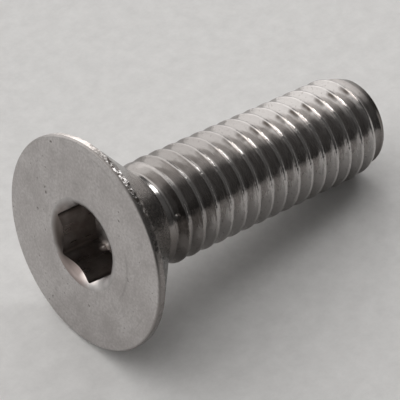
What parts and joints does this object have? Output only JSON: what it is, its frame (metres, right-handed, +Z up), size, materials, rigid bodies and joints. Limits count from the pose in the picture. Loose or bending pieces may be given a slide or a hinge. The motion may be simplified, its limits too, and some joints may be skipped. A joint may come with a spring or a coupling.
{
  "type": "countersunk socket screw",
  "caption": "Metric machine screw with a flat countersunk head, a hexagon socket for a key, and a coarse thread to a chamfered point.",
  "frame": {"origin": "middle of the box's underside, on the ground the screw lies on", "axes": "+Z up; the screw lies along X with its head towards -X and its point towards +X, its axis sloping down to the point by about 9.6 degrees"},
  "size_m": [0.0212, 0.012, 0.0118],
  "materials": {
    "steel": "plain machined steel: fine-turned satin head, bright rolled thread"
  },
  "bodies": {
    "root": {"screw": "steel"}
  },
  "joints": []
}
